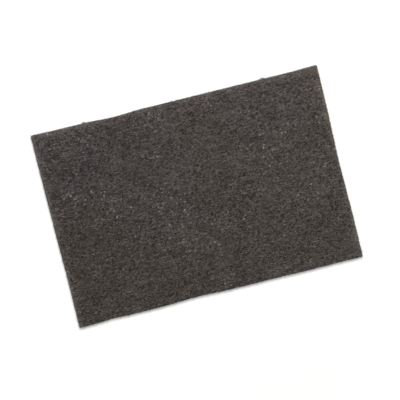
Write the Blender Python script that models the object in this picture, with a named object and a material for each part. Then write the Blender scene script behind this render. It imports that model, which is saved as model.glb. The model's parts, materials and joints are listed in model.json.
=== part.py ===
"""Abrasive hand pad: one flat, die-cut sheet of bonded fibre web. Metres, +Z up.

The pad lies on its flat underside, with its length along X and its width along Y. The origin is
at the middle of the underside. The upper face keeps the uneven loft and the nubs of the web, and
sinks a little towards the cut sides. The cut sides aren't quite straight: the long ones flare
out at the corners, and each side has shallow waves.

Run it with blender --background --python part.py, or from Blender's text editor.
"""

import math
from dataclasses import dataclass

import bmesh
import bpy
from mathutils import Vector, noise

# Overall size of the sheet, over its corners and its highest nub
LENGTH = 0.229
WIDTH = 0.1545
THICKNESS = 0.006

# Rounding of the upright corners, and of the rims of the cut sides
CORNER_RADIUS = 0.0009
CORNER_STEPS = 3
UPPER_ROUND = 0.0006
LOWER_ROUND = 0.0004
RIM_STEPS = 2

# Flare of a long side at its corners: how far it goes out, and the stretch over which it does
FLARE_DEPTH = 0.0004
FLARE_REACH = 0.022

# How far the upper face sinks at the cut sides, and how far in the sinking starts
SHOULDER_DROP = 0.0004
SHOULDER_WIDTH = 0.006

# Uneven loft of the upper face: the depth and the spread of its slow swells, and of its nubs
SWELL_DEPTH = 0.0003
SWELL_SPREAD = 0.045
NUB_DEPTH = 0.0006
NUB_SPREAD = 0.0085

# Spacing of the points that carry the upper face, and the sharpest fold that is shaded smooth
PITCH = 0.0034
SMOOTH_ANGLE = math.radians(50)

# Width of the outermost row of cells beyond the corner rounding that it holds
RIM_MARGIN = 0.0008

WEB_COLOUR = (0.066, 0.055, 0.051, 1.0)
WEB_ROUGHNESS = 0.9


@dataclass(frozen=True)
class Wave:
    """A shallow wave in a cut side: its middle along the side, half its width, and its depth.

    A depth above 0 is a hollow, and one below 0 is a swell, which is no higher than the flare.
    """

    middle: float
    half_width: float
    depth: float

    def inset(self, along):
        """How far this wave draws the side in at a place along it."""
        reach = abs(along - self.middle) / self.half_width
        return self.depth * (1 + math.cos(math.pi * reach)) / 2 if reach < 1 else 0.0


# The waves of the four cut sides, as the photograph shows them
BACK_WAVES = [Wave(middle=-0.0495, half_width=0.0220, depth=0.0009)]
FRONT_WAVES = [
    Wave(middle=-0.0860, half_width=0.0120, depth=0.0005),
    Wave(middle=-0.0190, half_width=0.0300, depth=0.0009),
    Wave(middle=0.0780, half_width=0.0360, depth=-FLARE_DEPTH),
]
RIGHT_WAVES = [Wave(middle=0.0010, half_width=0.0480, depth=0.0007)]
LEFT_WAVES = [Wave(middle=-0.0400, half_width=0.0450, depth=0.0003)]


def flare_inset(x):
    """How far a long side lies inside its flared corners at the place x."""
    rise = min(1, (LENGTH / 2 - abs(x)) / FLARE_REACH)
    return FLARE_DEPTH * (1 - math.cos(math.pi * rise)) / 2


def long_inset(x, waves):
    """Draw-in of a long side."""
    return flare_inset(x) + sum(wave.inset(x) for wave in waves)


def short_inset(y, waves):
    """Draw-in of a short side, which has no flare."""
    return sum(wave.inset(y) for wave in waves)


def outline_place(x, y):
    """Moves a place of the plain rectangle to its place within the uneven outline."""
    x_inset = short_inset(y, RIGHT_WAVES if x > 0 else LEFT_WAVES)
    y_inset = long_inset(x, BACK_WAVES if y > 0 else FRONT_WAVES)
    return x * (1 - x_inset / (LENGTH / 2)), y * (1 - y_inset / (WIDTH / 2))


def loft_loss(x, y):
    """How far the uneven loft leaves the upper face below a flat one."""
    swell = noise.noise(Vector((x, y, 0)) / SWELL_SPREAD)
    nub = noise.fractal(Vector((x, y, 0)) / NUB_SPREAD, 1.0, 2.0, 3)
    return (SWELL_DEPTH * (1 - swell) + NUB_DEPTH * (1 - nub)) / 2


def shoulder_loss(x, y):
    """How far the upper face sinks towards the nearest cut side of the plain rectangle."""
    edge_distance = min(LENGTH / 2 - abs(x), WIDTH / 2 - abs(y))
    if edge_distance >= SHOULDER_WIDTH:
        return 0.0
    return SHOULDER_DROP * (1 - edge_distance / SHOULDER_WIDTH) ** 2


def stations(span):
    """Grid lines across a span: a row for the rim at each end, and even cells between."""
    half = span / 2
    inner = half - (CORNER_RADIUS + RIM_MARGIN)
    cells = max(1, round(2 * inner / PITCH))
    return [-half, *(inner * (2 * step / cells - 1) for step in range(cells + 1)), half]


def shape_upper_face(bm):
    """Makes the upper face from a grid, with its highest nub at the full thickness."""
    x_lines = stations(LENGTH)
    y_lines = stations(WIDTH)
    x_cells = len(x_lines) - 1
    y_cells = len(y_lines) - 1
    bmesh.ops.create_grid(bm, x_segments=x_cells, y_segments=y_cells, size=1)
    losses = []
    for vert in bm.verts:
        x = x_lines[round((vert.co.x + 1) / 2 * x_cells)]
        y = y_lines[round((vert.co.y + 1) / 2 * y_cells)]
        losses.append(loft_loss(x, y) + shoulder_loss(x, y))
        vert.co = (*outline_place(x, y), 0)
    least = min(losses)
    for vert, loss in zip(bm.verts, losses):
        vert.co.z = THICKNESS - (loss - least)


def add_sides_and_underside(bm):
    """Drops walls from the outline to the flat underside, and closes it with one face."""
    outline = [edge for edge in bm.edges if edge.is_boundary]
    walls = bmesh.ops.extrude_edge_only(bm, edges=outline)["geom"]
    for item in walls:
        if isinstance(item, bmesh.types.BMVert):
            item.co.z = 0
    lower_loop = [item for item in walls if isinstance(item, bmesh.types.BMEdge) and item.is_boundary]
    bmesh.ops.contextual_create(bm, geom=lower_loop)
    bmesh.ops.recalc_face_normals(bm, faces=bm.faces)


def corner_edges(bm):
    """The four upright edges where two cut sides meet at about a right angle."""
    return [
        edge for edge in bm.edges
        if abs(edge.verts[0].co.z - edge.verts[1].co.z) > THICKNESS / 2
        and edge.calc_face_angle(0) > math.radians(45)
    ]


def rim_edges(bm, upward):
    """The edges of the cut sides along the upper face, or along the underside if upward is -1."""
    def is_rim(edge):
        heights = [face.normal.z * upward for face in edge.link_faces]
        return max(heights) > 0.5 and min(map(abs, heights)) < 0.5
    return [edge for edge in bm.edges if is_rim(edge)]


def round_edges(bm, edges, radius, steps):
    """Rounds these edges."""
    bmesh.ops.bevel(
        bm, geom=edges, offset=radius, offset_type="OFFSET", segments=steps, profile=0.5,
        affect="EDGES", clamp_overlap=True, material=-1,
    )
    bm.normal_update()


def pad_mesh():
    """The pad's mesh: a lofty upper face, cut sides with soft rims, and a flat underside."""
    bm = bmesh.new()
    shape_upper_face(bm)
    add_sides_and_underside(bm)
    round_edges(bm, corner_edges(bm), CORNER_RADIUS, CORNER_STEPS)
    round_edges(bm, rim_edges(bm, 1), UPPER_ROUND, RIM_STEPS)
    round_edges(bm, rim_edges(bm, -1), LOWER_ROUND, RIM_STEPS)
    mesh = bpy.data.meshes.new("fibre_web_pad")
    bm.to_mesh(mesh)
    bm.free()
    mesh.shade_smooth()
    mesh.set_sharp_from_angle(angle=SMOOTH_ANGLE)
    return mesh


def web_material():
    """The dark grey-brown web: matt, bonded fibre with abrasive grain."""
    material = bpy.data.materials.new("fibre_web")
    material.use_nodes = True
    shader = material.node_tree.nodes["Principled BSDF"]
    shader.inputs["Base Color"].default_value = WEB_COLOUR
    shader.inputs["Roughness"].default_value = WEB_ROUGHNESS
    shader.inputs["Metallic"].default_value = 0
    material.diffuse_color = WEB_COLOUR
    return material


def main():
    """Clears the scene and makes the pad."""
    for obj in list(bpy.data.objects):
        bpy.data.objects.remove(obj)
    mesh = pad_mesh()
    mesh.materials.append(web_material())
    pad = bpy.data.objects.new("fibre_web_pad", mesh)
    bpy.context.scene.collection.objects.link(pad)


main()
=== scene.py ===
"""Looks of the abrasive hand pad: an open web of crimped, resin-coated fibres with abrasive grain.

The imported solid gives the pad's form. Its plain node is replaced by a pitted web body, with
fibres laid over and through every face, cut fibre ends on the four sides, and grain on top.
All lengths are in metres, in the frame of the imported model, and MM turns millimetres into them.
"""

import json
import logging
import math
from dataclasses import dataclass, field
from enum import Enum
from typing import Iterable, Mapping

import bmesh
import bpy
import numpy as np
from mathutils import Matrix, Vector, noise
from mathutils.bvhtree import BVHTree

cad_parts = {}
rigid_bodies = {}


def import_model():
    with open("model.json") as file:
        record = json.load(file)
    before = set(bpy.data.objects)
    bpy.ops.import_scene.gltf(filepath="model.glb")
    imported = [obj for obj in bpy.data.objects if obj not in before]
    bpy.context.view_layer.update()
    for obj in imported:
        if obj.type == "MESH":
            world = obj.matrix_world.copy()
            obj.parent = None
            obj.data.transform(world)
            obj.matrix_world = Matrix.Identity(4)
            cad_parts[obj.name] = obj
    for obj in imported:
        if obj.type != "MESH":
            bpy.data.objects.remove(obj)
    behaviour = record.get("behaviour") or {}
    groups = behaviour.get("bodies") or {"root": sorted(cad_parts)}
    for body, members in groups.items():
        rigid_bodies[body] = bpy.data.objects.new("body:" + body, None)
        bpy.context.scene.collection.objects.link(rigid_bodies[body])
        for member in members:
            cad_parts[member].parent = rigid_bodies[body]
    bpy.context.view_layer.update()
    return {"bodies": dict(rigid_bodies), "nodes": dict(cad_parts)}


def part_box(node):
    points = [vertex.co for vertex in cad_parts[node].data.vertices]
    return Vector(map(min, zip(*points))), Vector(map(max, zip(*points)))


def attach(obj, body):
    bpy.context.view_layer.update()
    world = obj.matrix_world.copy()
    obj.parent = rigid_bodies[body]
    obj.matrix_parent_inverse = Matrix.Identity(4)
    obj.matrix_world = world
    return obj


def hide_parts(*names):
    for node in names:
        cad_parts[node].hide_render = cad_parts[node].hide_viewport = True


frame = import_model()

LOG = logging.getLogger("hand_pad")

MM = 0.001
PAD_NODE = "fibre_web_pad"
BODY = next(iter(frame["bodies"]))

# The name of the map that a finish is baked through, where a piece brings its own
BAKE_MAP = "OFBake"

# Points that lie nearer to each other than this become one
WELD = 0.001 * MM

# The fewest places that a fibre may run through, if both its ends are drawn to a point
LEAST_PLACES = 3

Colour = tuple[float, float, float]
Place = tuple[float, float, float]
Span = tuple[float, float]
Spot = tuple[float, float]
Stretch = tuple[float, float, float]

# How far a pattern is drawn out along X, Y and Z: the web's own marks run with the pad's length
EVEN: Stretch = (1.0, 1.0, 1.0)
DRAWN: Stretch = (1.50, 0.67, 1.0)

# The middle of a noise that runs from 0 to 1
NOISE_MIDDLE = 0.5


class Face(Enum):
    """One of the pad's two broad faces, with the way it looks along Z."""

    UPPER = 1
    UNDER = -1


class Side(Enum):
    """One of the four cut sides, with the way it looks in the plane of the pad."""

    BACK = (0, 1)
    FRONT = (0, -1)
    RIGHT = (1, 0)
    LEFT = (-1, 0)

    @property
    def outward(self) -> Vector:
        """The way the side looks."""
        return Vector((*self.value, 0))

    @property
    def lengthwise(self) -> Vector:
        """The way the side runs."""
        return Vector((abs(self.value[1]), abs(self.value[0]), 0))


class Blend(Enum):
    """How one colour is laid over another."""

    MIX = "MIX"
    MULTIPLY = "MULTIPLY"


class Signal:
    """A socket of a material's nodes that takes part in Python arithmetic."""

    def __init__(self, tree: "NodeTree", socket: bpy.types.NodeSocket) -> None:
        """Wraps an output socket of the tree."""
        self.tree = tree
        self.socket = socket

    def _math(self, operation: str, *values: "Signal | float") -> "Signal":
        """The result of a Math node on these values."""
        return self.tree.node("ShaderNodeMath", {"operation": operation}, dict(enumerate(values)))

    def __add__(self, other: "Signal | float") -> "Signal":
        """This value plus the other."""
        return self._math("ADD", self, other)

    def __radd__(self, other: float) -> "Signal":
        """The other value plus this one."""
        return self._math("ADD", other, self)

    def __sub__(self, other: "Signal | float") -> "Signal":
        """This value less the other."""
        return self._math("SUBTRACT", self, other)

    def __rsub__(self, other: float) -> "Signal":
        """The other value less this one."""
        return self._math("SUBTRACT", other, self)

    def __mul__(self, other: "Signal | float") -> "Signal":
        """This value times the other."""
        return self._math("MULTIPLY", self, other)

    def __rmul__(self, other: float) -> "Signal":
        """The other value times this one."""
        return self._math("MULTIPLY", other, self)

    def __abs__(self) -> "Signal":
        """This value without its sign."""
        return self._math("ABSOLUTE", self)

    def at_least(self, other: "Signal | float") -> "Signal":
        """The larger of this value and the other."""
        return self._math("MAXIMUM", self, other)

    def between(self, low: float, high: float) -> "Signal":
        """0 below low, 1 above high, and a smooth rise between the two."""
        inputs = {"Value": self, "From Min": low, "From Max": high}
        return self.tree.node("ShaderNodeMapRange", {"interpolation_type": "SMOOTHSTEP"}, inputs)


class NodeTree:
    """The nodes of one material or world, made one at a time."""

    # A Mix node's sockets for colours, by number, since those for numbers have the same names
    FIRST_COLOUR = 6
    SECOND_COLOUR = 7
    MIXED_COLOUR = 2

    def __init__(self, owner: bpy.types.Material | bpy.types.World) -> None:
        """Empties the nodes of a material or world, to fill them anew.

        Args:
            owner: The material or world.
        """
        owner.use_nodes = True
        self.owner = owner
        self.tree = owner.node_tree
        self.tree.nodes.clear()

    def node(
        self,
        kind: str,
        settings: Mapping[str, object] | None = None,
        inputs: Mapping[int | str, object] | None = None,
        output: int | str = 0,
    ) -> Signal:
        """Adds a node.

        Args:
            kind: The node's type.
            settings: What is set on the node before its sockets, such as its operation.
            inputs: The values or links of its sockets, by name or number.
            output: The socket that the result comes from.

        Returns:
            The node's result.
        """
        node = self.tree.nodes.new(kind)
        for key, value in (settings or {}).items():
            setattr(node, key, value)
        for key, value in (inputs or {}).items():
            if isinstance(value, Signal):
                self.tree.links.new(value.socket, node.inputs[key])
            else:
                node.inputs[key].default_value = value
        return Signal(self, node.outputs[output])

    def place(self, spread: float, stretch: Stretch, shift: float) -> Signal:
        """Object coordinates in units of a spread.

        Args:
            spread: The length of one unit.
            stretch: How far a unit is drawn out along each axis.
            shift: How far the origin is moved along each axis, in units.

        Returns:
            The coordinates.
        """
        coordinates = self.node("ShaderNodeTexCoord", output="Object")
        scale = tuple(1 / (spread * share) for share in stretch)
        inputs = {"Vector": coordinates, "Location": (shift,) * 3, "Scale": scale}
        return self.node("ShaderNodeMapping", {"vector_type": "POINT"}, inputs)

    def noise(
        self, spread: float, stretch: Stretch = EVEN, detail: float = 2, shift: float = 0
    ) -> Signal:
        """Noise from about 0 to 1.

        Args:
            spread: The size of its clouds.
            stretch: How far its clouds are drawn out along each axis.
            detail: How many finer octaves it has.
            shift: Where in the noise the pad lies, in units of spread.

        Returns:
            The noise.
        """
        inputs = {"Vector": self.place(spread, stretch, shift), "Scale": 1.0, "Detail": detail}
        return self.node("ShaderNodeTexNoise", None, inputs)

    def dots(
        self,
        spread: float,
        limits: Span,
        stretch: Stretch = EVEN,
        shift: float = 0,
        chances: Span | None = None,
    ) -> Signal:
        """Dots at random places: 1 within them and 0 between them.

        Args:
            spread: How far they lie from each other.
            limits: The radii from which they fade and where they end, in units of spread.
            stretch: How far they are drawn out along each axis.
            shift: Where among the dots the pad lies, in units of spread.
            chances: The random numbers from 0 to 1 at which a dot starts to show and shows in full.

        Returns:
            The dots.
        """
        inputs = {"Vector": self.place(spread, stretch, shift), "Scale": 1.0}
        distance = self.node("ShaderNodeTexVoronoi", {"feature": "F1"}, inputs, output="Distance")
        dots = 1 - distance.between(*limits)
        if chances is None:
            return dots
        chance = Signal(self, distance.socket.node.outputs["Color"])
        return dots * chance.between(*chances)

    def strands(self, spread: float, width: float, shift: float) -> Signal:
        """Thin, curly lines: 1 along them and 0 between them.

        Args:
            spread: The size of their curls.
            width: Their width, as a share of the noise's whole range.
            shift: Where in the noise the pad lies, in units of spread.

        Returns:
            The lines.
        """
        offset = abs(self.noise(spread, DRAWN, detail=1, shift=shift) - NOISE_MIDDLE)
        return 1 - offset.between(0, width)

    def attribute(self, name: str) -> Signal:
        """A number that the piece's points carry."""
        settings = {"attribute_type": "GEOMETRY", "attribute_name": name}
        return self.node("ShaderNodeAttribute", settings, output="Fac")

    def mix(
        self,
        share: Signal | float,
        first: Signal | Colour,
        second: Signal | Colour,
        blend: Blend = Blend.MIX,
    ) -> Signal:
        """Mixes two colours.

        Args:
            share: How much of the second colour there is.
            first: The first colour.
            second: The second colour.
            blend: How the second is laid over the first.

        Returns:
            The mixed colour.
        """
        colours = [c if isinstance(c, Signal) else (*c, 1.0) for c in (first, second)]
        settings = {"data_type": "RGBA", "blend_type": blend.value}
        inputs = {"Factor": share, self.FIRST_COLOUR: colours[0], self.SECOND_COLOUR: colours[1]}
        return self.node("ShaderNodeMix", settings, inputs, self.MIXED_COLOUR)

    def bump(self, height: Signal, distance: float, strength: float) -> Signal:
        """A normal that stands for fine relief.

        Args:
            height: The relief, from 0 to 1.
            distance: How high 1 is.
            strength: How much of it shows.

        Returns:
            The normal.
        """
        inputs = {"Strength": strength, "Distance": distance, "Height": height}
        return self.node("ShaderNodeBump", None, inputs)

    def principled(self, **inputs: object) -> Signal:
        """A Principled shader, with underscores for the spaces in its sockets' names."""
        named = {name.replace("_", " "): value for name, value in inputs.items()}
        return self.node("ShaderNodeBsdfPrincipled", None, named)

    def finish(self, shader: Signal) -> bpy.types.Material | bpy.types.World:
        """Puts a shader on the surface.

        Args:
            shader: The shader.

        Returns:
            The material or world that these nodes make.
        """
        is_world = isinstance(self.owner, bpy.types.World)
        end = self.tree.nodes.new("ShaderNodeOutputWorld" if is_world else "ShaderNodeOutputMaterial")
        self.tree.links.new(shader.socket, end.inputs["Surface"])
        return self.owner


@dataclass(frozen=True)
class Clouding:
    """The slow drift of the web's colour between a purplish grey and an olive brown."""

    purplish: Colour = (1.00, 0.955, 0.985)
    olive: Colour = (1.00, 0.963, 0.868)
    spread: float = 100 * MM
    shift: float = 60.0
    limits: Span = (0.38, 0.62)

    def apply(self, tree: NodeTree, colour: Signal) -> Signal:
        """Tints a colour.

        Args:
            tree: The material's nodes.
            colour: The colour before the drift.

        Returns:
            The tinted colour.
        """
        drift = tree.noise(self.spread, EVEN, detail=3, shift=self.shift)
        tint = tree.mix(drift.between(*self.limits), self.purplish, self.olive)
        return tree.mix(1.0, colour, tint, Blend.MULTIPLY)


@dataclass(frozen=True)
class FineDetail:
    """The finest marks in body and fibres alike: painted shade in small gaps, and pale dust."""

    # The gaps: how far apart they lie, how wide they are, and the painted shade that darkens them
    gap_spread: float = 1.1 * MM
    gap_limits: Span = (0.15, 0.50)
    gap_painted_shade: float = 0.58

    # The specks of dust, and the rags that they are torn into
    dust_colour: Colour = (0.410, 0.385, 0.391)
    speck_spread: float = 2.8 * MM
    speck_limits: Span = (0.08, 0.49)
    speck_shift: float = 3.1
    speck_chances: Span = (0.34, 0.66)
    ragged_spread: float = 0.8 * MM
    ragged_limits: Span = (0.43, 0.61)

    # The clusters that the specks gather in, the share of dust outside them, and their haze
    cluster_spread: float = 32 * MM
    cluster_shift: float = 150.45
    cluster_limits: Span = (0.48, 0.62)
    least_dust: float = 0.32
    haze: float = 0.012

    def gaps(self, tree: NodeTree, shade: Signal) -> Signal:
        """Paints shade into the web's small gaps, the shadowed holes between its fibres.

        Args:
            tree: The material's nodes.
            shade: The shade before the gaps.

        Returns:
            The shade with the gaps.
        """
        return shade - self.gap_painted_shade * tree.dots(self.gap_spread, self.gap_limits, DRAWN)

    def dust(self, tree: NodeTree, colour: Signal) -> Signal:
        """Lays specks of pale dust on a colour, which gather in hazy clusters.

        Args:
            tree: The material's nodes.
            colour: The colour under the dust.

        Returns:
            The dusty colour.
        """
        clusters = tree.noise(self.cluster_spread, EVEN, detail=2, shift=self.cluster_shift)
        cluster = clusters.between(*self.cluster_limits)
        rags = tree.noise(self.ragged_spread, DRAWN, detail=1)
        ragged = rags.between(*self.ragged_limits)
        speck = tree.dots(
            self.speck_spread, self.speck_limits, EVEN, self.speck_shift, self.speck_chances
        )
        share = (self.least_dust + (1 - self.least_dust) * cluster) * ragged * speck
        return tree.mix(share + self.haze * cluster, colour, self.dust_colour)


@dataclass(frozen=True)
class BodyFinish:
    """The web's own body between the fibres: dark and matt, with finer fibres matted into it."""

    dark: Colour = (0.016, 0.0135, 0.0125)
    light: Colour = (0.170, 0.147, 0.136)
    shade_limits: Span = (0.0, 1.0)
    roughness: float = 0.92
    specular: float = 0.25

    # The matting: a crust, three layers of strands over it, and how it changes the shade
    crust_spread: float = 0.6 * MM
    crust_share: float = 0.4
    strand_spreads: tuple[float, ...] = (1.5 * MM, 1.2 * MM, 1.9 * MM)
    strand_width: float = 0.035
    strand_shift: float = 3.7
    strand_relief: float = 0.20 * MM
    relief_share: float = 0.8
    matting_gain: float = 0.45
    matting_loss: float = 0.10

    detail: FineDetail = FineDetail()
    clouding: Clouding = Clouding()

    def material(self) -> bpy.types.Material:
        """Makes the material.

        Returns:
            The material.
        """
        tree = NodeTree(bpy.data.materials.new("matted_web"))
        matting = self.crust_share * tree.noise(self.crust_spread, DRAWN, detail=2)
        for number, spread in enumerate(self.strand_spreads):
            strands = tree.strands(spread, self.strand_width, self.strand_shift * number)
            matting = matting.at_least(strands)
        # The points' shade holds painted light and shade, and the gaps paint more shade into the web's
        # holes
        shade = tree.attribute("shade") + self.matting_gain * matting - self.matting_loss
        share = self.detail.gaps(tree, shade).between(*self.shade_limits)
        colour = tree.mix(share, self.dark, self.light)
        shader = tree.principled(
            Base_Color=self.clouding.apply(tree, self.detail.dust(tree, colour)),
            Roughness=self.roughness,
            Specular_IOR_Level=self.specular,
            Normal=tree.bump(matting, self.strand_relief, self.relief_share),
        )
        return tree.finish(shader)


@dataclass(frozen=True)
class FibreFinish:
    """Resin-coated fibre: each one has a shade of its own, dusty and a little glossy."""

    dark: Colour = (0.020, 0.017, 0.0155)
    light: Colour = (0.364, 0.329, 0.314)
    shade_limits: Span = (-0.05, 1.15)
    most_roughness: float = 0.80
    specular: float = 0.35

    # The crust of resin, and how it changes the shade and the roughness
    crust_spread: float = 0.6 * MM
    crust_gain: float = 0.5
    crust_gloss: float = 0.30
    crust_relief: float = 0.05 * MM
    relief_share: float = 0.7

    detail: FineDetail = FineDetail()
    clouding: Clouding = Clouding()

    def material(self) -> bpy.types.Material:
        """Makes the material.

        Returns:
            The material.
        """
        tree = NodeTree(bpy.data.materials.new("coated_fibre"))
        crust = tree.noise(self.crust_spread, DRAWN, detail=3)
        # The points' shade holds painted light and shade, and the gaps paint more shade into the web's
        # holes
        shade = tree.attribute("shade") + self.crust_gain * (crust - NOISE_MIDDLE)
        share = self.detail.gaps(tree, shade).between(*self.shade_limits)
        colour = tree.mix(share, self.dark, self.light)
        shader = tree.principled(
            Base_Color=self.clouding.apply(tree, self.detail.dust(tree, colour)),
            Roughness=self.most_roughness - self.crust_gloss * crust,
            Specular_IOR_Level=self.specular,
            Normal=tree.bump(crust, self.crust_relief, self.relief_share),
        )
        return tree.finish(shader)


@dataclass(frozen=True)
class GrainFinish:
    """Abrasive grain and beads of resin: paler than the fibres, and glossier."""

    dark: Colour = (0.10, 0.090, 0.086)
    light: Colour = (0.42, 0.39, 0.38)
    spread: float = 1.2 * MM
    limits: Span = (0.3, 0.7)
    least_roughness: float = 0.35
    roughness_gain: float = 0.30
    specular: float = 0.5

    def material(self) -> bpy.types.Material:
        """Makes the material.

        Returns:
            The material.
        """
        tree = NodeTree(bpy.data.materials.new("abrasive_grain"))
        share = tree.noise(self.spread, EVEN, detail=1).between(*self.limits)
        shader = tree.principled(
            Base_Color=tree.mix(share, self.dark, self.light),
            Roughness=self.least_roughness + self.roughness_gain * share,
            Specular_IOR_Level=self.specular,
        )
        return tree.finish(shader)


@dataclass
class PadForm:
    """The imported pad's form, which is asked for places on its faces and sides."""

    node: bpy.types.Object

    # How far off the form a ray starts, and how far from its middle a cut side lies at least
    reach: float = 50 * MM
    least_side: float = 50 * MM

    tree: BVHTree = field(init=False)
    low: Vector = field(init=False)
    high: Vector = field(init=False)

    def __post_init__(self) -> None:
        """Makes the tree that finds places on the form."""
        mesh = self.node.data
        faces = [polygon.vertices for polygon in mesh.polygons]
        self.tree = BVHTree.FromPolygons([vert.co for vert in mesh.vertices], faces)
        self.low, self.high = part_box(PAD_NODE)

    def on_face(self, x: float, y: float, face: Face) -> float | None:
        """The height of a broad face at a place.

        Args:
            x: Where along the pad.
            y: Where across the pad.
            face: The face.

        Returns:
            The height, or nothing outside the outline.
        """
        start = Vector((x, y, face.value * self.reach))
        hit = self.tree.ray_cast(start, Vector((0, 0, -face.value)))[0]
        return None if hit is None else hit.z

    def on_side(self, side: Side, along: float, height: float) -> tuple[Vector, Vector] | None:
        """A place on a cut side.

        Args:
            side: The cut side.
            along: Where along the side, from its middle.
            height: How high on it.

        Returns:
            The place and the way the side looks there, or nothing past its ends.
        """
        start = side.outward * (self.high.x + self.reach) + side.lengthwise * along
        start.z = height
        hit, normal = self.tree.ray_cast(start, -side.outward)[:2]
        if hit is None or hit.dot(side.outward) < self.least_side:
            return None
        return hit, normal

    def half_length(self, side: Side) -> float:
        """Half the length of a cut side."""
        return self.high.dot(side.lengthwise)

    def rim_distance(self, place: Vector) -> float:
        """How far inside the back, right or left side a place is, whichever is nearest."""
        return min(self.high.y - place.y, self.high.x - place.x, place.x - self.low.x)


def smooth_share(value: float, low: float, high: float) -> float:
    """0 below low, 1 above high, and a smooth rise between the two."""
    share = min(1, max(0, (value - low) / (high - low)))
    return share * share * (3 - 2 * share)


@dataclass
class WebLoft:
    """How the web changes from place to place: pits, patches, cut sides and painted light and shade."""

    form: PadForm

    # The pits between the fibres, and how much painted shade darkens a shade in them
    pit_spacing: float = 1.5 * MM
    pit_limits: Span = (0.10, 0.50)
    pit_painted_shade: float = 0.50

    # The patches: their size, how they break up into finer ones, and what they add to a shade
    patch_spread: float = 18 * MM
    patch_evenness: float = 0.5
    patch_fineness: float = 2.0
    patch_octaves: int = 3
    patch_gain: float = 0.040

    # Painted light: the paler right end, and the width and gain of the lit back, right and left rims
    fade: float = 0.04
    painted_rim_width: float = 2.4 * MM
    painted_rim_light: float = 0.45

    def pit(self, place: Vector) -> float:
        """How deep in a pit a place is, from 0 to 1."""
        scaled = Vector(place[axis] / (self.pit_spacing * DRAWN[axis]) for axis in range(3))
        return 1 - smooth_share(noise.voronoi(scaled)[0][0], *self.pit_limits)

    def patch(self, place: Vector) -> float:
        """How pale and dense the web is about a place, from about -1 to 1."""
        scaled = place / self.patch_spread
        return noise.fractal(scaled, self.patch_evenness, self.patch_fineness, self.patch_octaves)

    def shade(self, place: Vector, pit: float) -> float:
        """What a place adds to the shade of what lies there: patches, and painted light and shade.

        Args:
            place: The place.
            pit: How deep in a pit it is, from 0 to 1.

        Returns:
            The change, from about -1 to 1.
        """
        # Painted light: a lit rim on the back, right and left sides and a paler right end; patches are
        # the web's own tone
        rim = self.painted_rim_light * math.exp(-max(0, self.form.rim_distance(place)) / self.painted_rim_width)
        slow = self.patch_gain * self.patch(place) + self.fade * place.x / self.form.high.x
        return slow + rim - self.pit_painted_shade * pit


def new_piece(name: str, mesh: bpy.types.Mesh, material: bpy.types.Material) -> bpy.types.Object:
    """Makes an object at the origin that rides on the pad's body.

    Args:
        name: The piece's name.
        mesh: Its mesh, in place.
        material: What it wears.

    Returns:
        The object.
    """
    mesh.name = name
    mesh.materials.clear()
    mesh.materials.append(material)
    mesh.shade_smooth()
    piece = bpy.data.objects.new(name, mesh)
    bpy.context.scene.collection.objects.link(piece)
    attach(piece, BODY)
    triangles = sum(len(polygon.vertices) - 2 for polygon in mesh.polygons)
    LOG.info("%s: %d triangles", name, triangles)
    return piece


def evaluated_mesh(guide: bpy.types.Object) -> bpy.types.Mesh:
    """The mesh that a curve or a modified object stands for.

    Args:
        guide: The curve or the modified object, which is removed.

    Returns:
        The mesh.
    """
    bpy.context.scene.collection.objects.link(guide)
    depsgraph = bpy.context.evaluated_depsgraph_get()
    mesh = bpy.data.meshes.new_from_object(guide.evaluated_get(depsgraph))
    bpy.data.objects.remove(guide)
    return mesh


@dataclass
class WebBody:
    """The pad's body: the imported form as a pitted, padded web."""

    form: PadForm
    loft: WebLoft
    finish: BodyFinish = BodyFinish()
    cell: float = 1.0 * MM
    smoothing: float = 0.5
    base_shade: float = 0.40

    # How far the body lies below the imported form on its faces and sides, and in its pits
    face_sink: float = 0.40 * MM
    side_sink: float = 0.16 * MM
    pit_depth: float = 0.80 * MM

    def net(self) -> bpy.types.Mesh:
        """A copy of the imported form, as an even net of small cells.

        Returns:
            The mesh.
        """
        bm = bmesh.new()
        bm.from_mesh(self.form.node.data)
        bmesh.ops.remove_doubles(bm, verts=bm.verts, dist=WELD)
        mesh = bpy.data.meshes.new("web_form")
        bm.to_mesh(mesh)
        bm.free()
        guide = bpy.data.objects.new("web_form", mesh)
        remesh = guide.modifiers.new("net", "REMESH")
        remesh.mode = "VOXEL"
        remesh.voxel_size = self.cell
        return evaluated_mesh(guide)

    def build(self) -> bpy.types.Object:
        """Makes the body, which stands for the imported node.

        Returns:
            The body.
        """
        mesh = self.net()
        bm = bmesh.new()
        bm.from_mesh(mesh)
        bmesh.ops.smooth_vert(
            bm, verts=bm.verts, factor=self.smoothing, use_axis_x=True, use_axis_y=True, use_axis_z=True
        )
        shade = bm.verts.layers.float.new("shade")
        for vert in bm.verts:
            place, outward = self.form.tree.find_nearest(vert.co)[:2]
            pit = self.loft.pit(place)
            sink = self.side_sink + (self.face_sink - self.side_sink) * abs(outward.z)
            # Painted shade in the pits and painted light at the rims and right end, from the loft
            vert[shade] = self.base_shade + self.loft.shade(place, pit)
            vert.co = place - outward * (sink + self.pit_depth * pit)
        bmesh.ops.recalc_face_normals(bm, faces=bm.faces)
        bm.to_mesh(mesh)
        bm.free()
        body = new_piece("web_body", mesh, self.finish.material())
        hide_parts(PAD_NODE)
        return body


@dataclass
class Fibre:
    """One fibre: the places that it runs through, its radius, and its shade at each place."""

    path: list[Vector]
    radius: float
    shades: list[float]
    blunt: bool = False

    def radii(self) -> np.ndarray:
        """The radius at each place: an end that isn't blunt is drawn to a point.

        Returns:
            The radii, in the order of the path.
        """
        radii = np.full(len(self.path), self.radius)
        if not self.blunt:
            radii[[0, -1]] = 0
        return radii


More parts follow.
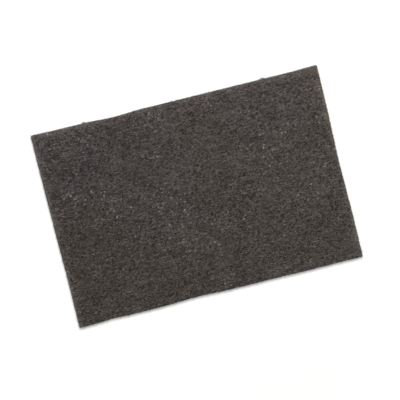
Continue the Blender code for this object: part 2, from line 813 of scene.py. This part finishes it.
@dataclass
class FibreBundle:
    """Many fibres as one piece: thin strands along given paths, which have few flat sides."""

    name: str
    material: bpy.types.Material
    sides: int = 3
    cell_margin: float = 0.08
    fibres: list[Fibre] = field(default_factory=list)

    def section(self) -> bpy.types.Object:
        """The section of the strands, with its corners 1 from its middle.

        Returns:
            The section, as a curve.
        """
        curve = bpy.data.curves.new("strand_section", "CURVE")
        curve.dimensions = "2D"
        spline = curve.splines.new("POLY")
        spline.points.add(self.sides - 1)
        for number, point in enumerate(spline.points):
            angle = math.tau * number / self.sides
            point.co = (math.cos(angle), math.sin(angle), 0, 1)
        spline.use_cyclic_u = True
        section = bpy.data.objects.new("strand_section", curve)
        bpy.context.scene.collection.objects.link(section)
        return section

    def strands(self) -> bpy.types.Mesh:
        """The open strands, with one ring of points for each place of each path.

        Returns:
            The mesh.
        """
        section = self.section()
        curve = bpy.data.curves.new(self.name, "CURVE")
        curve.dimensions = "3D"
        curve.bevel_mode = "OBJECT"
        curve.bevel_object = section
        for fibre in self.fibres:
            spline = curve.splines.new("POLY")
            spline.points.add(len(fibre.path) - 1)
            places = np.column_stack([np.array(fibre.path), np.ones(len(fibre.path))])
            spline.points.foreach_set("co", places.ravel())
            spline.points.foreach_set("radius", fibre.radii())
        mesh = evaluated_mesh(bpy.data.objects.new(self.name + "_strands", curve))
        bpy.data.objects.remove(section)
        return mesh

    def lay_out(self, mesh: bpy.types.Mesh) -> None:
        """Gives each fibre a cell of its own on the map that the finish is baked through.

        Args:
            mesh: The open strands, whose map runs along and around each strand.
        """
        counts = [self.sides * len(fibre.path) for fibre in self.fibres]
        owner = np.repeat(np.arange(len(self.fibres)), counts)
        corner = np.empty(len(mesh.loops), np.int32)
        mesh.loops.foreach_get("vertex_index", corner)
        own = mesh.uv_layers[0]
        places = np.empty(2 * len(mesh.loops), np.float32)
        own.uv.foreach_get("vector", places)
        across = math.ceil(math.sqrt(len(self.fibres)))
        cells = np.column_stack([owner[corner] % across, owner[corner] // across])
        inner = self.cell_margin + (1 - 2 * self.cell_margin) * places.reshape(-1, 2)
        own.uv.foreach_set("vector", ((cells + inner) / across).astype(np.float32).ravel())
        own.name = BAKE_MAP

    def build(self) -> bpy.types.Object:
        """Makes the piece: the strands with their shades, and with their ends closed.

        Returns:
            The piece.
        """
        mesh = self.strands()
        shades = np.repeat(np.concatenate([fibre.shades for fibre in self.fibres]), self.sides)
        shade = mesh.attributes.new("shade", "FLOAT", "POINT")
        shade.data.foreach_set("value", shades.astype(np.float32))
        self.lay_out(mesh)
        bm = bmesh.new()
        bm.from_mesh(mesh)
        bmesh.ops.remove_doubles(bm, verts=bm.verts, dist=WELD)
        open_ends = [edge for edge in bm.edges if edge.is_boundary]
        bmesh.ops.holes_fill(bm, edges=open_ends, sides=self.sides)
        bmesh.ops.recalc_face_normals(bm, faces=bm.faces)
        bm.to_mesh(mesh)
        bm.free()
        return new_piece(self.name, mesh, self.material)


@dataclass
class FaceLay:
    """A layer of crimped fibres that lie along a broad face and weave in and out of it."""

    name: str
    face: Face
    count: int
    seed: int

    # How high the fibres lie over the face, their shades and their radii. The larger the skew, the
    # more of them are dark.
    depth: Span
    shade: Span
    skew: float = 1.6
    radius: Span = (0.07 * MM, 0.13 * MM)

    # The path seen from above: its steps and turns, how far the turns lean to one side, and from
    # how many steps outside the pad it may start
    step: float = 1.7 * MM
    points: int = 6
    crimp: float = 0.75
    bend_share: float = 0.4
    margin_steps: float = 2

    # The path seen from the side: its wave, its painted crest light and trough shade, and its dips
    weave: float = 0.22 * MM
    crest_turn: float = 2.1
    painted_crest_shading: float = 0.20
    pit_dip: float = 0.35 * MM
    end_dip: float = 0.25 * MM

    # The shortest step that is kept, and how closely the outline cuts a fibre
    least_step: float = 0.02 * MM
    halvings: int = 4

    def walk(self, form: PadForm, rng: np.random.Generator) -> list[Spot]:
        """The places that a crimped fibre passes, seen from above.

        Args:
            form: The pad's form.
            rng: The source of chance.

        Returns:
            The places, of which some may lie outside the outline.
        """
        margin = self.margin_steps * self.step
        x = rng.uniform(form.low.x - margin, form.high.x + margin)
        y = rng.uniform(form.low.y - margin, form.high.y + margin)
        bend = rng.normal(0, self.bend_share * self.crimp)
        turns = rng.normal(bend, self.crimp, self.points)
        headings = rng.uniform(0, math.tau) + np.cumsum(turns)
        xs = x + self.step * DRAWN[0] * np.cumsum(np.cos(headings))
        ys = y + self.step * DRAWN[1] * np.cumsum(np.sin(headings))
        return list(zip(xs.tolist(), ys.tolist()))

    def cut(self, form: PadForm, inside: Spot, outside: Spot) -> Spot:
        """Where the pad's outline cuts a fibre.

        Args:
            form: The pad's form.
            inside: A place within the outline.
            outside: The next place, past it.

        Returns:
            A place on the way between the two, just within the outline.
        """
        for _ in range(self.halvings):
            middle = ((inside[0] + outside[0]) / 2, (inside[1] + outside[1]) / 2)
            if form.on_face(*middle, self.face) is None:
                outside = middle
            else:
                inside = middle
        return inside

    def run(self, form: PadForm, rng: np.random.Generator) -> list[Spot]:
        """The first stretch of a random fibre that lies within the outline.

        Args:
            form: The pad's form.
            rng: The source of chance.

        Returns:
            Its places seen from above, or none if the whole fibre lies outside.
        """
        places = self.walk(form, rng)
        within = [form.on_face(*place, self.face) is not None for place in places]
        if True not in within:
            return []
        first = within.index(True)
        last = first
        while last + 1 < len(places) and within[last + 1]:
            last += 1
        run = places[first:last + 1]
        if first > 0:
            run.insert(0, self.cut(form, places[first], places[first - 1]))
        if last + 1 < len(places):
            run.append(self.cut(form, places[last], places[last + 1]))
        return run

    def fibre(self, form: PadForm, loft: WebLoft, rng: np.random.Generator) -> Fibre:
        """One fibre over the face.

        Args:
            form: The pad's form.
            loft: The web's changes.
            rng: The source of chance.

        Returns:
            The fibre, which may be too short to use.
        """
        run = self.run(form, rng)
        level = rng.uniform(*self.depth)
        wave = rng.uniform(0, math.tau)
        own_shade = self.shade[0] + (self.shade[1] - self.shade[0]) * rng.random() ** self.skew
        fibre = Fibre([], rng.uniform(*self.radius), [])
        for number, (x, y) in enumerate(run):
            place = Vector((x, y, form.on_face(x, y, self.face)))
            pit = loft.pit(place)
            crest = math.sin(wave + self.crest_turn * number)
            lift = level + self.weave * crest - self.pit_dip * pit
            if number in (0, len(run) - 1):
                lift -= self.end_dip
            place.z += self.face.value * lift
            if fibre.path and (place - fibre.path[-1]).length < self.least_step:
                continue
            # Painted light and shade: paler crests, darker troughs, and the loft's painted pits, rim
            # and slope
            fibre.shades.append(own_shade + self.painted_crest_shading * crest + loft.shade(place, pit))
            fibre.path.append(place)
        return fibre

    def build(self, form: PadForm, loft: WebLoft, material: bpy.types.Material) -> FibreBundle:
        """Makes the layer.

        Args:
            form: The pad's form.
            loft: The web's changes.
            material: What the fibres wear.

        Returns:
            The fibres.
        """
        rng = np.random.default_rng(self.seed)
        bundle = FibreBundle(self.name, material)
        while len(bundle.fibres) < self.count:
            fibre = self.fibre(form, loft, rng)
            if len(fibre.path) >= LEAST_PLACES:
                bundle.fibres.append(fibre)
        bundle.build()
        return bundle


@dataclass
class CutSides:
    """The four cut sides: fibres that lie in the wall, and cut ends that stick out of it."""

    form: PadForm
    loft: WebLoft
    material: bpy.types.Material
    seed: int = 41

    # The radii and shades, and how far the fibres keep from the underside and the upper face
    radius: Span = (0.07 * MM, 0.13 * MM)
    shade: Span = (0.10, 0.60)
    low_margin: float = 0.20 * MM
    high_margin: float = 0.60 * MM

    # Fibres that lie in the walls: their number, how proud of the wall they are, and how they run
    lying: int = 2400
    lying_level: Span = (-0.34 * MM, 0.02 * MM)
    lying_points: int = 5
    step: float = 1.5 * MM
    tilt: float = 0.4
    bend: float = 0.5
    climb: float = 0.6

    # Cut ends: their number, how far they stick out, how deep they root and how they splay. The
    # larger the skew, the more of them are short.
    ends: int = 4400
    proud: Span = (0.02 * MM, 0.95 * MM)
    skew: float = 2.0
    root: float = 0.9 * MM
    splay: float = 0.40

    # Tufts of longer ends: where they stand along the back side, and how dense, wide and proud
    tufts: tuple[float, ...] = (-72.3 * MM, 70.5 * MM)
    tuft_fibres: int = 30
    tuft_spread: float = 0.7 * MM
    tuft_proud: Span = (0.5 * MM, 1.7 * MM)

    def height(self, rng: np.random.Generator) -> float:
        """A random height on a wall."""
        return rng.uniform(self.low_margin, self.form.high.z - self.high_margin)

    def random_side(self, rng: np.random.Generator) -> Side:
        """A random side, the long ones more often."""
        lengths = np.array([self.form.half_length(side) for side in Side])
        return list(Side)[rng.choice(len(lengths), p=lengths / lengths.sum())]

    def fibre(self, rng: np.random.Generator, path: list[Vector], blunt: bool) -> Fibre:
        """A fibre along a path in or near a wall.

        Args:
            rng: The source of chance.
            path: The places that it runs through, which are kept above the underside.
            blunt: Whether its ends are cut, and not drawn to a point.

        Returns:
            The fibre.
        """
        radius = rng.uniform(*self.radius)
        for place in path:
            place.z = max(place.z, radius)
        own_shade = rng.uniform(*self.shade)
        # Painted light on the back, right and left walls, and painted shade in the pits, from the loft
        shades = [own_shade + self.loft.shade(place, self.loft.pit(place)) for place in path]
        return Fibre(path, radius, shades, blunt)

    def end(
        self, rng: np.random.Generator, side: Side, along: float, proud: float
    ) -> list[Vector]:
        """The path of a cut end that sticks out of a wall.

        Args:
            rng: The source of chance.
            side: The cut side.
            along: Where along it.
            proud: How far the end sticks out.

        Returns:
            The path, or nothing past the ends of the side.
        """
        found = self.form.on_side(side, along, self.height(rng))
        if not found:
            return []
        foot, outward = found
        way = (outward + Vector(rng.normal(0, self.splay, 3))).normalized()
        return [foot - way * self.root, foot + way * proud]

    def lie(self, rng: np.random.Generator) -> list[Vector]:
        """The path of a fibre that lies in a wall.

        Args:
            rng: The source of chance.

        Returns:
            The path, which may be too short to use past the ends of a side.
        """
        side = self.random_side(rng)
        along = rng.uniform(-1, 1) * self.form.half_length(side)
        height = self.height(rng)
        heading = rng.normal(0, self.tilt) + math.pi * rng.integers(2)
        path = []
        for _ in range(self.lying_points):
            found = self.form.on_side(side, along, height)
            if found:
                path.append(found[0] + found[1] * rng.uniform(*self.lying_level))
            heading += rng.normal(0, self.bend)
            along += self.step * math.cos(heading)
            height += self.climb * self.step * math.sin(heading)
            height = min(max(height, self.low_margin), self.form.high.z - self.high_margin)
        return path

    def build(self) -> None:
        """Makes the piece."""
        rng = np.random.default_rng(self.seed)
        bundle = FibreBundle("cut_sides", self.material)
        places = []
        for _ in range(self.ends):
            side = self.random_side(rng)
            along = rng.uniform(-1, 1) * self.form.half_length(side)
            reach = self.proud[1] - self.proud[0]
            places.append((side, along, self.proud[0] + reach * rng.random() ** self.skew))
        for middle in self.tufts:
            for _ in range(self.tuft_fibres):
                along = middle + rng.normal(0, self.tuft_spread)
                places.append((Side.BACK, along, rng.uniform(*self.tuft_proud)))
        for side, along, proud in places:
            path = self.end(rng, side, along, proud)
            if path:
                bundle.fibres.append(self.fibre(rng, path, blunt=True))
        for _ in range(self.lying):
            path = self.lie(rng)
            if len(path) >= LEAST_PLACES:
                bundle.fibres.append(self.fibre(rng, path, blunt=False))
        bundle.build()


@dataclass
class Grain:
    """Abrasive grain and resin beads that hang on the upper fibres, denser in some patches."""

    carriers: FibreBundle
    finish: GrainFinish = GrainFinish()
    count: int = 2600
    seed: int = 77
    radius: Span = (0.09 * MM, 0.28 * MM)
    stretch: Span = (0.7, 1.3)
    batch: int = 50

    # The chance that a place takes a bead, what the patches add to it, and their size
    chance: float = 0.35
    cluster_gain: float = 1.1
    cluster: float = 26 * MM

    def places(self, rng: np.random.Generator) -> list[Vector]:
        """Where the grain hangs: random points of the carriers, mostly in some patches.

        Args:
            rng: The source of chance.

        Returns:
            The places.
        """
        fibres = self.carriers.fibres
        places = []
        while len(places) < self.count:
            path = fibres[rng.integers(len(fibres))].path
            place = path[rng.integers(1, len(path) - 1)]
            patch = noise.noise(place / self.cluster)
            if rng.random() < self.chance + self.cluster_gain * patch:
                places.append(place)
        return places

    def build(self) -> bpy.types.Object:
        """Makes the piece, a batch at a time, because a small mesh takes new beads fast.

        Returns:
            The piece.
        """
        rng = np.random.default_rng(self.seed)
        places = self.places(rng)
        mesh = bpy.data.meshes.new("grain")
        whole = bmesh.new()
        for start in range(0, self.count, self.batch):
            bm = bmesh.new()
            for place in places[start:start + self.batch]:
                stretch = Matrix.Diagonal((*rng.uniform(*self.stretch, 3), 1))
                turn = Matrix.Rotation(rng.uniform(0, math.tau), 4, Vector(rng.normal(0, 1, 3)))
                where = Matrix.Translation(place) @ turn @ stretch
                radius = rng.uniform(*self.radius)
                bmesh.ops.create_icosphere(bm, subdivisions=1, radius=radius, matrix=where)
            bm.to_mesh(mesh)
            bm.free()
            whole.from_mesh(mesh)
        whole.to_mesh(mesh)
        whole.free()
        return new_piece("grain", mesh, self.finish.material())


@dataclass(frozen=True)
class Studio:
    """The floor, the lights and the camera."""

    # The floor, and what the camera sees added to it under the pad and far from the pad
    floor_size: float = 4.0
    floor_level: float = -0.1 * MM
    floor_colour: Colour = (0.88, 0.865, 0.85)
    seen_boost: float = 0.235
    far_boost: float = 1.0
    far_from: Span = (0.17, 0.40)

    # The softbox, which looks at the pad's middle, and the strength of the even surround
    lamp_place: Place = (0.03, 0.29, 0.80)
    lamp_size: float = 0.30
    lamp_power: float = 5.6
    surround: float = 0.42

    # The camera: its place, its turn in degrees, and its lens and sensor in millimetres
    camera_place: Place = (-0.0298, 0.0560, 0.9980)
    camera_turn: tuple[float, float, float] = (-2.863, -2.533, -13.945)
    lens: float = 114.9
    sensor: float = 36.0

    @staticmethod
    def seen(tree: NodeTree) -> Signal:
        """What tells the camera's rays from light.

        Args:
            tree: The nodes of a material or world.

        Returns:
            1 for what the camera sees straight, mirrored or through glass, and 0 for light.
        """
        rays = [
            tree.node("ShaderNodeLightPath", output=name)
            for name in ("Is Camera Ray", "Is Glossy Ray", "Is Transmission Ray")
        ]
        return rays[0].at_least(rays[1]).at_least(rays[2])

    def floor(self) -> None:
        """A pale floor that the camera sees as nearly white, with the pad's shadow kept."""
        tree = NodeTree(bpy.data.materials.new("pale_floor"))
        paint = tree.node("ShaderNodeBsdfDiffuse", None, {"Color": (*self.floor_colour, 1.0)})
        place = tree.node("ShaderNodeTexCoord", output="Object")
        inputs = {"Vector": place}
        distance = tree.node("ShaderNodeVectorMath", {"operation": "LENGTH"}, inputs, "Value")
        far = distance.between(*self.far_from)
        boost = self.seen_boost + (self.far_boost - self.seen_boost) * far
        glow = tree.node("ShaderNodeEmission", None, {"Strength": boost * self.seen(tree)})
        material = tree.finish(tree.node("ShaderNodeAddShader", None, {0: paint, 1: glow}))
        bm = bmesh.new()
        bmesh.ops.create_grid(bm, x_segments=1, y_segments=1, size=self.floor_size / 2)
        bmesh.ops.translate(bm, verts=bm.verts, vec=(0, 0, self.floor_level))
        mesh = bpy.data.meshes.new("floor")
        bm.to_mesh(mesh)
        bm.free()
        mesh.materials.append(material)
        floor = bpy.data.objects.new("floor", mesh)
        bpy.context.scene.collection.objects.link(floor)

    def lights(self) -> None:
        """A softbox above the far side, and an even surround that the camera sees as white."""
        light = bpy.data.lights.new("softbox", "AREA")
        light.shape = "SQUARE"
        light.size = self.lamp_size
        light.energy = self.lamp_power
        lamp = bpy.data.objects.new("softbox", light)
        lamp.location = self.lamp_place
        lamp.rotation_euler = (-Vector(self.lamp_place)).to_track_quat("-Z", "Y").to_euler()
        bpy.context.scene.collection.objects.link(lamp)
        tree = NodeTree(bpy.data.worlds.new("surround"))
        strength = self.surround + (1 - self.surround) * self.seen(tree)
        world = tree.finish(tree.node("ShaderNodeBackground", None, {"Strength": strength}))
        bpy.context.scene.world = world

    def camera(self) -> None:
        """The camera, nearly straight above the pad, as in the photograph."""
        data = bpy.data.cameras.new("camera")
        data.lens = self.lens
        data.sensor_width = self.sensor
        camera = bpy.data.objects.new("camera", data)
        camera.location = self.camera_place
        camera.rotation_euler = [math.radians(angle) for angle in self.camera_turn]
        bpy.context.scene.collection.objects.link(camera)
        bpy.context.scene.camera = camera

    def build(self) -> None:
        """Makes the whole studio."""
        bpy.context.scene.view_settings.view_transform = "Standard"
        self.floor()
        self.lights()
        self.camera()


def clear_defaults() -> None:
    """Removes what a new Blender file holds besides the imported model."""
    for name in ("Cube", "Light", "Camera"):
        leftover = bpy.data.objects.get(name)
        if leftover is not None:
            bpy.data.objects.remove(leftover)


# The upper layers take darker shades the deeper they lie: painted shade of the web's depth
FIBRE_LAYERS = (
    FaceLay(
        name="fibre_bed", face=Face.UPPER, count=8000, seed=11,
        depth=(-0.60 * MM, -0.25 * MM), shade=(0.14, 0.60),
    ),
    FaceLay(
        name="fibre_lay", face=Face.UPPER, count=5400, seed=12,
        depth=(-0.35 * MM, -0.05 * MM), shade=(0.22, 0.75), skew=2.0,
        step=0.90 * MM, points=8, crimp=0.55,
    ),
    FaceLay(
        name="surface_fibres", face=Face.UPPER, count=5400, seed=13,
        depth=(-0.12 * MM, 0.18 * MM), shade=(0.25, 0.88), skew=2.2,
        radius=(0.07 * MM, 0.15 * MM), step=0.80 * MM, points=8, crimp=0.55,
    ),
    FaceLay(
        name="underside_fibres", face=Face.UNDER, count=5000, seed=14,
        depth=(-0.50 * MM, -0.34 * MM), shade=(0.05, 0.60),
    ),
)


def main() -> None:
    """Builds the studio and the pad's pieces in order."""
    logging.basicConfig(level=logging.INFO, format="%(name)s %(asctime)s %(message)s")
    clear_defaults()
    Studio().build()
    form = PadForm(frame["nodes"][PAD_NODE])
    loft = WebLoft(form)
    fibre = FibreFinish().material()
    WebBody(form, loft).build()
    bundles = {layer.name: layer.build(form, loft, fibre) for layer in FIBRE_LAYERS}
    CutSides(form, loft, fibre).build()
    Grain(bundles["surface_fibres"]).build()


if __name__ == "__main__":
    main()
